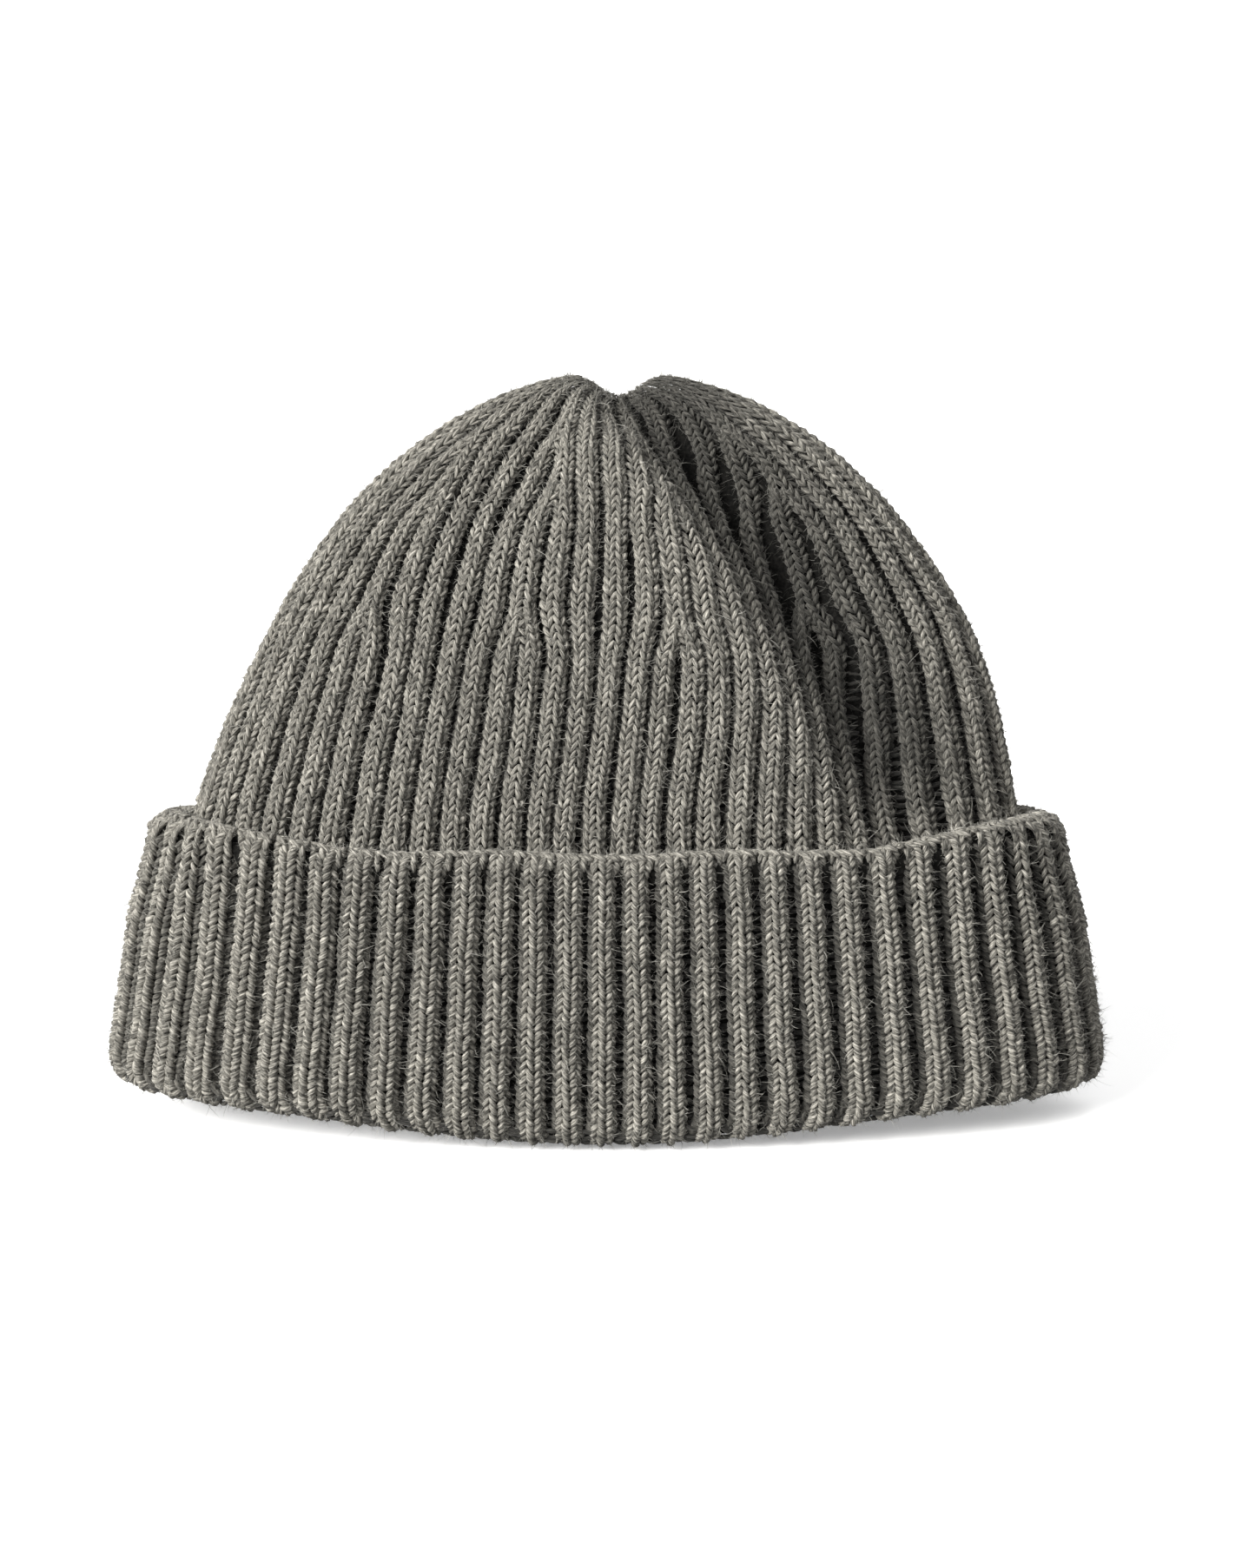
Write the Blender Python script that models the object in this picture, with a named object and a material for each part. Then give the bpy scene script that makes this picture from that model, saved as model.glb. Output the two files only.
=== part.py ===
"""Knit beanie: a flattened, standing rib-knit hat with one turned-up cuff.

The hat stands on its folded lower edge, front towards -Y, width along X.
Every shell is a loft of oval sections; metres, +Z up, z = 0 at the fold.
"""
import math

import bmesh
import bpy

# Overall size
WIDTH_FOLD = 0.240          # full width at the folded lower edge
DEPTH_FOLD = 0.088          # full depth at the folded lower edge
WIDTH_CUFF_TOP = 0.222      # full width at the cuff's cast-on edge
DEPTH_CUFF_TOP = 0.082      # full depth at the cuff's cast-on edge
HEIGHT = 0.1765             # floor to the top of the crown
CUFF_HEIGHT = 0.0690        # floor to the cast-on edge

# Fabric
CUFF_FABRIC = 0.0060        # thickness of the loftier, turned-up rib
BODY_FABRIC = 0.0050        # thickness of the body rib
PIECE_GAP = 0.0003          # clearance between touching pieces
SLIDE_GAP = 0.0010          # clearance between the cuff and the body it slides on

# Heights of the construction lines
FOLD_TOP = 0.0130           # outer arm of the rolled fold
FOLD_INNER_TOP = 0.0080     # inner arm of the rolled fold
FOLD_WIDEST = 0.0080        # height at which the folded edge is widest
WELT_BASE = 0.0620          # where the cast-on welt starts
CROWN_START = 0.0680        # dome formula starts here
DECREASE_ONE = 0.1240       # first round of decreases
DECREASE_TWO = 0.1500       # second round of decreases
DECREASE_THREE = 0.1625     # last round, gathered above it

TIP_UNDERSIDE = 0.1700      # inside of the gathered centre
TIP_DIMPLE = 0.0022         # depth of the pucker in the gathered centre

# Dome shape
DOME_HALF_WIDTH = 0.100
DOME_HALF_DEPTH = 0.0325
DOME_FLARE = 0.003          # body flare where it leaves the cuff
DOME_FLARE_DEPTH = 0.0013
DOME_FLARE_FALL = 0.006     # height over which the flare fades
WIDTH_POWER = 1.6
DEPTH_POWER = 2.4
CROWN_LEAN = 0.0035         # the crown sits this far towards +X
LEAN_HEIGHT = 0.050         # height over which the lean builds up

# Section and resolution
OVAL_POWER = 2.5            # superellipse exponent of every section
SECTION_STEPS = 56

# Threads
SEAM_RADIUS = 0.0013
SEAM_GROOVE = 0.0036        # width of the join the cuff's seam lies in
SEAM_SUNK = 0.0015          # how far the cuff seam's centre lies below the face
SEAM_STANDOFF = 0.0022      # body seam's centre to the inner face
GATHER_RADIUS = 0.0008
GATHER_LOOP = 0.0042        # radius of the drawn-up loop
KNOT_RADIUS = 0.0024

YARN_TONES = {
    "cuff_rib_panel": (0.155, 0.148, 0.132),
    "cuff_fold_roll": (0.140, 0.134, 0.120),
    "cuff_cast_on_edge": (0.175, 0.168, 0.150),
    "cuff_back_seam": (0.120, 0.115, 0.103),
    "brim_inner_band": (0.135, 0.129, 0.116),
    "body_rib_wall": (0.150, 0.143, 0.128),
    "crown_first_decrease": (0.145, 0.138, 0.124),
    "crown_second_decrease": (0.150, 0.143, 0.128),
    "crown_gathered_tip": (0.140, 0.133, 0.120),
    "body_back_seam": (0.120, 0.115, 0.103),
    "gather_thread": (0.110, 0.105, 0.095),
    "gather_knot": (0.110, 0.105, 0.095),
}


def clear_scene():
    for item in list(bpy.data.objects):
        bpy.data.objects.remove(item, do_unlink=True)


def new_collection(name):
    group = bpy.data.collections.new(name)
    bpy.context.scene.collection.children.link(group)
    return group


def yarn_material(name):
    """Matt wool in the piece's own tone."""
    red, green, blue = YARN_TONES[name]
    material = bpy.data.materials.new(name)
    material.use_nodes = True
    shader = material.node_tree.nodes["Principled BSDF"]
    shader.inputs["Base Color"].default_value = (red, green, blue, 1.0)
    shader.inputs["Roughness"].default_value = 0.92
    shader.inputs["Metallic"].default_value = 0.0
    material.diffuse_color = (red, green, blue, 1.0)
    return material


def mix(low, high, share):
    return low + (high - low) * share


def lean(z):
    """Sideways shift of a section's centre at height z."""
    share = min(max((z - CROWN_START) / LEAN_HEIGHT, 0.0), 1.0)
    return CROWN_LEAN * share * share * (3.0 - 2.0 * share)


def oval(half_width, half_depth, z):
    """Points of one level section, anticlockwise from +X."""
    power = 2.0 / OVAL_POWER
    points = []
    for step in range(SECTION_STEPS):
        angle = 2.0 * math.pi * step / SECTION_STEPS
        cosine, sine = math.cos(angle), math.sin(angle)
        x = half_width * math.copysign(abs(cosine) ** power, cosine)
        y = half_depth * math.copysign(abs(sine) ** power, sine)
        points.append((x + lean(z), y, z))
    return points


def dome_section(z, inset):
    """Half width and half depth of the hat's body, inset into the fabric."""
    top = HEIGHT - inset
    share = min(max((z - CROWN_START) / (top - CROWN_START), 0.0), 1.0)
    flare = math.exp(-max(z - CROWN_START, 0.0) / DOME_FLARE_FALL)
    wide = (DOME_HALF_WIDTH - inset) * math.sqrt(1.0 - share ** WIDTH_POWER)
    deep = (DOME_HALF_DEPTH - inset) * math.sqrt(1.0 - share ** DEPTH_POWER)
    return wide + DOME_FLARE * flare, deep + DOME_FLARE_DEPTH * flare


def cuff_section(z, inset):
    """Half width and half depth of the turned-up cuff at height z."""
    share = (z - FOLD_WIDEST) / (CUFF_HEIGHT - FOLD_WIDEST)
    wide = mix(WIDTH_FOLD, WIDTH_CUFF_TOP, share) / 2.0
    deep = mix(DEPTH_FOLD, DEPTH_CUFF_TOP, share) / 2.0
    return wide - inset, deep - inset


def band_section(inset):
    """Half width and half depth of the straight band inside the cuff."""
    wide, deep = cuff_section(CUFF_HEIGHT, CUFF_FABRIC + SLIDE_GAP)
    return wide - inset, deep - inset


def loft(name, sections, group, closed_profile=True):
    """Skin a list of (half width, half depth, z) ovals into one solid.

    A closed profile makes a ring. An open one is a cap: its first and last
    sections are closed with a fan to a centre point.
    """
    mesh_data = bmesh.new()
    rows = []
    for half_width, half_depth, z in sections:
        row = [mesh_data.verts.new(p) for p in oval(half_width, half_depth, z)]
        rows.append(row)
    count = len(rows)
    spans = count if closed_profile else count - 1
    for index in range(spans):
        upper, lower = rows[index], rows[(index + 1) % count]
        for step in range(SECTION_STEPS):
            after = (step + 1) % SECTION_STEPS
            mesh_data.faces.new(
                (upper[step], lower[step], lower[after], upper[after])
            )
    if not closed_profile:
        for row, flip in ((rows[0], False), (rows[-1], True)):
            height = row[0].co.z
            centre = mesh_data.verts.new((lean(height), 0.0, height))
            for step in range(SECTION_STEPS):
                after = (step + 1) % SECTION_STEPS
                corners = (row[step], row[after], centre)
                mesh_data.faces.new(corners[::-1] if flip else corners)
    bmesh.ops.recalc_face_normals(mesh_data, faces=mesh_data.faces)
    mesh = bpy.data.meshes.new(name)
    mesh_data.to_mesh(mesh)
    mesh_data.free()
    mesh.shade_smooth()
    mesh.set_sharp_from_angle(angle=math.radians(50.0))
    mesh.materials.append(yarn_material(name))
    part = bpy.data.objects.new(name, mesh)
    group.objects.link(part)
    return part


def thread(name, points, radius, group, cyclic=False):
    """A round yarn along a path."""
    curve = bpy.data.curves.new(name, "CURVE")
    curve.dimensions = "3D"
    curve.bevel_depth = radius
    curve.bevel_resolution = 2
    curve.use_fill_caps = not cyclic
    spline = curve.splines.new("POLY")
    spline.points.add(len(points) - 1)
    for place, (x, y, z) in zip(spline.points, points):
        place.co = (x, y, z, 1.0)
    spline.use_cyclic_u = cyclic
    curve.materials.append(yarn_material(name))
    part = bpy.data.objects.new(name, curve)
    group.objects.link(part)
    return part


def cut_seam_groove(part, cutters):
    """Open the cuff's centre-back join, where its seam thread lies."""
    low, high = FOLD_TOP - 0.002, WELT_BASE + 0.002
    low_deep, high_deep = cuff_section(low, 0.0)[1], cuff_section(high, 0.0)[1]
    slope = math.atan2(low_deep - high_deep, high - low)
    bpy.ops.mesh.primitive_cube_add(
        size=1.0,
        location=(0.0, (low_deep + high_deep) / 2.0, (low + high) / 2.0),
        rotation=(slope, 0.0, 0.0),
    )
    cutter = bpy.context.active_object
    cutter.name = "seam_groove_cutter"
    cutter.scale = (SEAM_GROOVE, 2.0 * (SEAM_SUNK + SEAM_RADIUS + PIECE_GAP), high - low)
    cutter.hide_render = True
    cutter.display_type = "WIRE"
    for holder in list(cutter.users_collection):
        holder.objects.unlink(cutter)
    cutters.objects.link(cutter)
    cut = part.modifiers.new("seam groove", "BOOLEAN")
    cut.operation = "DIFFERENCE"
    cut.solver = "EXACT"
    cut.object = cutter


def fold_sections():
    """The lower edge rolled into a U, from the outer arm round to the inner."""
    band_wide, band_deep = band_section(BODY_FABRIC)
    outline = (
        (1.00, FOLD_TOP), (1.00, 0.0080), (0.94, 0.0036), (0.82, 0.0009),
        (0.66, 0.0), (0.36, 0.0), (0.20, 0.0009), (0.07, 0.0034),
        (0.00, FOLD_INNER_TOP), (0.24, FOLD_INNER_TOP), (0.34, 0.0062),
        (0.48, 0.0054), (0.62, 0.0064), (0.71, 0.0090), (0.72, FOLD_TOP),
    )
    sections = []
    for share, z in outline:
        wide, deep = cuff_section(z, 0.0)
        sections.append((mix(band_wide, wide, share), mix(band_deep, deep, share), z))
    return sections


def cuff_panel_sections():
    low = FOLD_TOP + PIECE_GAP
    high = WELT_BASE - PIECE_GAP
    heights = [mix(high, low, step / 3.0) for step in range(4)]
    outer = [(*cuff_section(z, 0.0), z) for z in heights]
    inner = [(*cuff_section(z, CUFF_FABRIC), z) for z in reversed(heights)]
    return outer + inner


def welt_sections():
    """Cast-on edge: a flattened bead that closes the top of the cuff."""
    outline = (
        (0.0, WELT_BASE), (CUFF_FABRIC, WELT_BASE), (CUFF_FABRIC, 0.0665),
        (0.0046, 0.0683), (0.0030, CUFF_HEIGHT), (0.0014, 0.0683), (0.0003, 0.0665),
    )
    return [(*cuff_section(z, inset), z) for inset, z in reversed(outline)]


def band_sections():
    """Straight inner layer of the brim, hidden behind the cuff."""
    low = FOLD_INNER_TOP + PIECE_GAP
    high = CROWN_START - PIECE_GAP
    outer_wide, outer_deep = band_section(0.0)
    inner_wide, inner_deep = band_section(BODY_FABRIC)
    middle = mix(low, high, 0.5)
    return [
        (outer_wide, outer_deep, high), (outer_wide, outer_deep, middle),
        (outer_wide, outer_deep, low), (inner_wide, inner_deep, low),
        (inner_wide, inner_deep, middle), (inner_wide, inner_deep, high),
    ]


def dome_ring_sections(low, high, spans):
    """A band of the hat's body between two construction lines."""
    heights = [mix(high, low, step / spans) for step in range(spans + 1)]
    outer = [(*dome_section(z, 0.0), z) for z in heights]
    inner = [(*dome_section(z, BODY_FABRIC), z) for z in reversed(heights)]
    return outer + inner


def tip_sections():
    """Gathered centre: a shallow cap with a hollow underside and a dimple."""
    base = DECREASE_THREE + PIECE_GAP
    outer_heights = (HEIGHT - 0.0008, HEIGHT - 0.0036, HEIGHT - 0.0080, base)
    inner_heights = (base, 0.1665, TIP_UNDERSIDE)
    outer = [(*dome_section(z, 0.0), z) for z in outer_heights]
    inner = [(*dome_section(z, BODY_FABRIC), z) for z in inner_heights]
    rim_wide, rim_deep = dome_section(outer_heights[0], 0.0)
    crest = [
        (0.42 * rim_wide, 0.42 * rim_deep, HEIGHT - TIP_DIMPLE),
        (0.78 * rim_wide, 0.78 * rim_deep, HEIGHT),
    ]
    return crest + outer + inner


def cuff_seam_path():
    """Centre-back line of the cuff, sunk into its outer face."""
    low, high = FOLD_TOP + 2.0 * PIECE_GAP, WELT_BASE - 2.0 * PIECE_GAP
    heights = [mix(low, high, step / 4.0) for step in range(5)]
    return [(0.0, cuff_section(z, SEAM_SUNK)[1], z) for z in heights]


def body_seam_path():
    """Centre-back line inside the hat, from the brim to the gathered tip."""
    low, high = FOLD_INNER_TOP + SEAM_RADIUS, DECREASE_THREE - 2.0 * SEAM_RADIUS
    spans = 14
    points = []
    for step in range(spans + 1):
        z = mix(low, high, step / spans)
        band_deep = band_section(BODY_FABRIC)[1]
        dome_deep = dome_section(z, BODY_FABRIC)[1]
        points.append((lean(z), min(band_deep, dome_deep) - SEAM_STANDOFF, z))
    return points


def build():
    clear_scene()
    hat = new_collection("knit_beanie")
    cutters = new_collection("cutters")

    loft("cuff_fold_roll", fold_sections(), hat)
    cuff = loft("cuff_rib_panel", cuff_panel_sections(), hat)
    cut_seam_groove(cuff, cutters)
    loft("cuff_cast_on_edge", welt_sections(), hat)
    loft("brim_inner_band", band_sections(), hat)

    loft(
        "body_rib_wall",
        dome_ring_sections(CROWN_START, DECREASE_ONE - PIECE_GAP, 5),
        hat,
    )
    loft(
        "crown_first_decrease",
        dome_ring_sections(DECREASE_ONE, DECREASE_TWO - PIECE_GAP, 4),
        hat,
    )
    loft(
        "crown_second_decrease",
        dome_ring_sections(DECREASE_TWO, DECREASE_THREE, 3),
        hat,
    )
    loft("crown_gathered_tip", tip_sections(), hat, closed_profile=False)

    thread("cuff_back_seam", cuff_seam_path(), SEAM_RADIUS, hat)
    thread("body_back_seam", body_seam_path(), SEAM_RADIUS, hat)

    loop_height = TIP_UNDERSIDE - GATHER_RADIUS - PIECE_GAP
    loop = []
    for step in range(16):
        angle = 2.0 * math.pi * step / 16
        x = lean(loop_height) + GATHER_LOOP * math.cos(angle)
        loop.append((x, 0.5 * GATHER_LOOP * math.sin(angle), loop_height))
    thread("gather_thread", loop, GATHER_RADIUS, hat, cyclic=True)

    knot_height = loop_height - GATHER_RADIUS - KNOT_RADIUS - PIECE_GAP
    bpy.ops.mesh.primitive_uv_sphere_add(
        segments=12, ring_count=8, radius=KNOT_RADIUS,
        location=(lean(knot_height) + GATHER_LOOP, 0.0, knot_height),
    )
    knot = bpy.context.active_object
    knot.name = "gather_knot"
    knot.data.materials.append(yarn_material("gather_knot"))
    for holder in list(knot.users_collection):
        holder.objects.unlink(knot)
    hat.objects.link(knot)


build()
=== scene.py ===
"""Knit beanie: the looks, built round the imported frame.

Every stitch of the 2x2 rib is modelled as two plump legs of yarn laid along a
smooth surface that follows the CAD shells. Metres, +Z up, front towards -Y.
Surfaces take kappa, a share of the way round from centre back, and s, the
length along the profile.
"""
import math

import bpy
import numpy as np
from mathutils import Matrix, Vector


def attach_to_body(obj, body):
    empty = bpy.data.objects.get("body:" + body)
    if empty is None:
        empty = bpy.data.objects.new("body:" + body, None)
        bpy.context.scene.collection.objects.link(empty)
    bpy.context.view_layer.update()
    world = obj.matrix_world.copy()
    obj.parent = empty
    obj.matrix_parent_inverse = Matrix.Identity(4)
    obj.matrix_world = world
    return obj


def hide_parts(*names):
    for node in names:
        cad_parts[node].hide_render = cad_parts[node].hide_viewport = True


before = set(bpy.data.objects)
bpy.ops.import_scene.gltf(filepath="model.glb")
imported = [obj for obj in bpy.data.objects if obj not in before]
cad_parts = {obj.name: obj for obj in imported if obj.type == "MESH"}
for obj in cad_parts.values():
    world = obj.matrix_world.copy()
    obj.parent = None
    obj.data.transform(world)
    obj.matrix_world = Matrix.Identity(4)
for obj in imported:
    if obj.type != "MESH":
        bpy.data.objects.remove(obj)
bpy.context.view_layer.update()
rng = np.random.default_rng(7)
MM = 0.001

# ---------------------------------------------------------------- dimensions
RIBS = 60
ROW = 1.85 * MM             # height of one knit row
LANE = 1.90 * MM            # width of one leg of a stitch
RIB_RADIUS = 2.95 * MM      # roundness of a rib's outer face
FULL_PITCH = 6.1 * MM       # distance between ribs at which stitches are full size
LEG_REACH = 1.02            # width of a leg, in lanes
LEG_CLIMB = 1.45            # height of a leg, in rows
HEIGHT = 176.5 * MM
CUFF_HEIGHT = 69.0 * MM
CROWN_START = 68.0 * MM
FOLD_WIDEST = 8.0 * MM
WIDTH_FOLD, DEPTH_FOLD = 240.0 * MM, 88.0 * MM
WIDTH_CUFF_TOP, DEPTH_CUFF_TOP = 222.0 * MM, 82.0 * MM
BAND_HALF = (104.0 * MM, 34.0 * MM)
DOME_HALF = (100.0 * MM, 32.5 * MM)
CROWN_LEAN = 3.5 * MM
ROUND_ONE, ROUND_TWO, ROUND_THREE = 123.0 * MM, 150.0 * MM, 163.0 * MM
RING = 6                    # sides of a strand
LEG_STEPS = np.linspace(0.0, 1.0, 5)
LEG_THIN = (0.29, 0.50, 0.56, 0.50, 0.29)   # half breadth at each step, mm
LEG_DEEP = (0.34, 0.60, 0.72, 0.60, 0.34)   # half thickness at each step, mm
FIBRES = 33000              # loose fibres in one piece
ROOM_LIGHT = 0.28           # how strongly the white room lights the hat
ROOM_SEEN = 1.1             # how bright the same room looks to the camera


def smooth(value, low, high):
    share = np.clip((value - low) / (high - low), 0.0, 1.0)
    return share * share * (3.0 - 2.0 * share)


def unit(vectors):
    return vectors / np.maximum(np.linalg.norm(vectors, axis=-1, keepdims=True), 1e-12)


# ------------------------------------------------------------ base surfaces
def oval_table():
    """Arc length share, x and y round one section, from centre back."""
    angle = np.linspace(0.0, 2.0 * np.pi, 6001) + np.pi / 2.0
    power = 2.0 / 2.25
    x = np.sign(np.cos(angle)) * np.abs(np.cos(angle)) ** power
    y = np.sign(np.sin(angle)) * np.abs(np.sin(angle)) ** power
    step = np.hypot(np.diff(x), 0.355 * np.diff(y))
    length = np.concatenate([[0.0], np.cumsum(step)])
    return length / length[-1], x, y


OVAL = oval_table()


def oval(share):
    """Unit section at a share of its length, 0 and 1 at centre back."""
    share = share % 1.0
    return np.interp(share, OVAL[0], OVAL[1]), np.interp(share, OVAL[0], OVAL[2])


def warp(kappa, amount=0.13):
    """Rib coordinate to length share: ribs sit closer at front and back."""
    return kappa - amount * np.sin(4.0 * np.pi * kappa) / (4.0 * np.pi)


def along(points):
    """Length along a profile of (half width, half depth, height) points."""
    change = np.diff(points, axis=0) * np.array([0.3, 1.0, 1.0])
    return np.concatenate([[0.0], np.cumsum(np.linalg.norm(change, axis=1))])


def body_profile():
    band_z = np.linspace(8.5 * MM, 65.5 * MM, 30)
    band = np.stack([np.full(30, BAND_HALF[0]), np.full(30, BAND_HALF[1]), band_z], 1)
    share = 1.0 - (1.0 - np.linspace(0.0, 1.0, 400)) ** 2
    z = CROWN_START + share * (HEIGHT - CROWN_START)
    flare = np.exp(-(z - CROWN_START) / (8.0 * MM))
    wide = DOME_HALF[0] * np.sqrt(1.0 - share ** 1.6) + 3.0 * MM * flare
    deep = DOME_HALF[1] * np.sqrt(1.0 - share ** 2.4) + 1.3 * MM * flare
    points = np.vstack([band, np.stack([wide, deep, z], 1)])
    near = (points[:, 2] > 50.0 * MM) & (points[:, 2] < 95.0 * MM)
    for _ in range(300):
        middle = (points[:-2] + points[1:-1] * 2.0 + points[2:]) / 4.0
        points[1:-1] = np.where(near[1:-1, None], middle, points[1:-1])
    return points


def cuff_half(z):
    share = (z - FOLD_WIDEST) / (CUFF_HEIGHT - FOLD_WIDEST)
    wide = (WIDTH_FOLD + (WIDTH_CUFF_TOP - WIDTH_FOLD) * share) / 2.0
    deep = (DEPTH_FOLD + (DEPTH_CUFF_TOP - DEPTH_FOLD) * share) / 2.0
    return wide, deep


def cuff_profile():
    """From just inside the cast-on edge, over it, down and round the fold."""
    corners = []
    for inset, height in ((5.4, 62.0), (5.2, 66.5), (4.2, 68.8), (2.6, 69.2),
                          (1.0, 68.6), (0.1, 66.8), (0.0, 64.0), (0.0, 45.0),
                          (0.0, 28.0), (0.0, 14.0)):
        wide, deep = cuff_half(height * MM)
        corners.append((wide - inset * MM, deep - inset * MM, height * MM))
    for share, height in ((1.0, 8.0), (0.95, 3.8), (0.82, 1.2), (0.66, 0.5),
                          (0.36, 0.5), (0.18, 1.2), (0.06, 4.0), (0.0, 8.0)):
        wide, deep = cuff_half(height * MM)
        corners.append((
            BAND_HALF[0] - 5.0 * MM + (wide - BAND_HALF[0] + 5.0 * MM) * share,
            BAND_HALF[1] - 5.0 * MM + (deep - BAND_HALF[1] + 5.0 * MM) * share,
            height * MM,
        ))
    points = np.array(corners)
    for _ in range(3):
        near = points[:-1] * 0.75 + points[1:] * 0.25
        far = points[:-1] * 0.25 + points[1:] * 0.75
        points = np.vstack([points[:1], np.stack([near, far], 1).reshape(-1, 3), points[-1:]])
    return points


BODY = body_profile()
BODY_S = along(BODY)
CUFF = cuff_profile()
CUFF_S = along(CUFF)
BODY_END = float(np.interp(9.5 * MM, BODY[::-1, 0], BODY_S[::-1]))


def body_height(z):
    """Profile length at which the body reaches height z."""
    return float(np.interp(z, BODY[:, 2], BODY_S))


# Crease that runs from the top's notch down to the right:
# height, sideways place, depth, all in millimetres
CREASE = np.array([
    (60.0, 66.0, 0.0), (72.0, 64.0, 5.0), (99.0, 53.0, 11.0), (131.0, 35.0, 14.0),
    (150.0, 20.5, 14.0), (163.0, 9.0, 11.5), (171.0, 4.0, 8.0), (177.0, 2.0, 5.0),
]) * MM


def folded_body(share, s):
    """Points of the body's outer surface, with its folds and soft lobes."""
    cx, cy = oval(share)
    x = np.interp(s, BODY_S, BODY[:, 0]) * cx
    y = np.interp(s, BODY_S, BODY[:, 1]) * cy
    z = np.interp(s, BODY_S, BODY[:, 2])
    x = x + CROWN_LEAN * smooth(z, CROWN_START, CROWN_START + 50.0 * MM)
    above = smooth(z, 66.0 * MM, 90.0 * MM)
    front = smooth(-cy, -0.15, 0.55)
    back = smooth(cy, -0.1, 0.6)
    # the front's main crease: a steep left wall, a long slope to the right lobe
    place = np.interp(z, CREASE[:, 0], CREASE[:, 1])
    depth = np.interp(z, CREASE[:, 0], CREASE[:, 2])
    past = x - place
    wall = smooth(past, -11.0 * MM, 8.0 * MM)
    reach = 16.0 * MM + 9.0 * MM * (1.0 - smooth(z, 120.0 * MM, 168.0 * MM))
    valley = wall * np.exp(-(np.maximum(past, 0.0) / reach) ** 1.4)
    shoulder = np.exp(-((past + 17.0 * MM) / (12.0 * MM)) ** 2)
    y = y + front * (depth * valley - 0.22 * depth * shoulder)
    # a slighter one on the left
    left = -9.0 * MM - 0.62 * (171.0 * MM - z)
    dip = np.exp(-((x - left) / (8.0 * MM)) ** 2)
    y = y + front * 2.0 * MM * dip * smooth(z, 100.0 * MM, 150.0 * MM)
    # loose waves, front and back
    wave = np.sin(x / (17.0 * MM) + 0.7 + z / (60.0 * MM))
    wave = wave + 0.6 * np.sin(x / (9.5 * MM) - z / (34.0 * MM) + 2.0)
    y = y + above * (front * 0.35 + back * 0.9) * 0.8 * MM * wave
    back_dip = np.exp(-((x + 18.0 * MM + 0.25 * (z - 120.0 * MM)) / (10.0 * MM)) ** 2)
    y = y - back * 3.5 * MM * back_dip * smooth(z, 95.0 * MM, 140.0 * MM)
    # notch between the two lobes at the very top
    top = smooth(z, 157.0 * MM, 173.0 * MM)
    notch = np.exp(-((x - 3.0 * MM) / (6.5 * MM)) ** 2)
    z = z - top * 4.6 * MM * notch
    z = z + 2.4 * MM * smooth(z, 70.0 * MM, 170.0 * MM)
    return np.stack([x, y, z], -1)


def crease_shade(points):
    """Painted shade beside the main crease, 0 to 1: how far the cloth beside it closes over a
    point.
    """
    x, y, z = points[..., 0], points[..., 1], points[..., 2]
    past = x - np.interp(z, CREASE[:, 0], CREASE[:, 1])
    near = smooth(past, -8.0 * MM, 2.0 * MM) * (1.0 - smooth(past, 12.0 * MM, 42.0 * MM))
    return near * smooth(z, 60.0 * MM, 90.0 * MM) * smooth(-y, -2.0 * MM, 4.0 * MM)


def body_slack(points):
    """0 on the taut front, 1 right of the crease where the ribs stand apart and the grooves
    get the most painted shade.
    """
    x, y, z = points[..., 0], points[..., 1], points[..., 2]
    past = x - np.interp(z, CREASE[:, 0], CREASE[:, 1])
    return smooth(past, -6.0 * MM, 12.0 * MM) * (0.4 + 0.6 * smooth(-y, -16.0 * MM, 0.0))


def cuff_slack(points):
    """The cuff's ribs stand a little further apart, and their grooves get more painted shade,
    towards its right end.
    """
    x, z = points[..., 0], points[..., 2]
    return smooth(x, -70.0 * MM, 90.0 * MM) * smooth(z, 0.0, 22.0 * MM)


def body_lean(points):
    """How far the ribs roll over: reversed where they stand apart."""
    amount = 2.7 - 1.1 * smooth(points[..., 2], 152.0 * MM, 170.0 * MM)
    return 1.0 - amount * body_slack(points)


def cuff_lean(points):
    """The same for the cuff: reversed at its left end, so its ribs face forward."""
    left = 1.0 - smooth(points[..., 0], -112.0 * MM, -45.0 * MM)
    return 1.0 - 2.4 * left * smooth(-points[..., 1], -12.0 * MM, 8.0 * MM)


def cuff_flat(s):
    """1 on the cuff's lip, where the rib flattens out, 0 below it."""
    return 1.0 - smooth(s, 8.5 * MM, 14.0 * MM)


def cuff_under(s):
    """1 where the cuff's fold turns under, 0 a little above it."""
    return 1.0 - smooth(np.interp(s, CUFF_S, CUFF[:, 2]), 0.5 * MM, 8.0 * MM)


def even_table():
    """Length shares that space the ribs evenly over the folds, by profile length."""
    lengths = np.linspace(0.0, BODY_S[-1], 160)
    share = np.linspace(0.0, 1.0, 1441)
    grid, rows = np.meshgrid(share, lengths)
    points = folded_body(grid, rows)
    step = np.linalg.norm(np.diff(points, axis=1), axis=-1)
    step = step * (1.0 - 0.16 * body_slack(points[:, 1:]))
    total = np.concatenate([np.zeros((len(lengths), 1)), np.cumsum(step, 1)], 1)
    total = total / total[:, -1:]
    amount = 0.13 - 0.15 * smooth(lengths, body_height(70.0 * MM), body_height(150.0 * MM))
    return np.array([np.interp(warp(share, k), row, share) - share
                     for row, k in zip(total, amount)])


EVEN = even_table()


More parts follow.
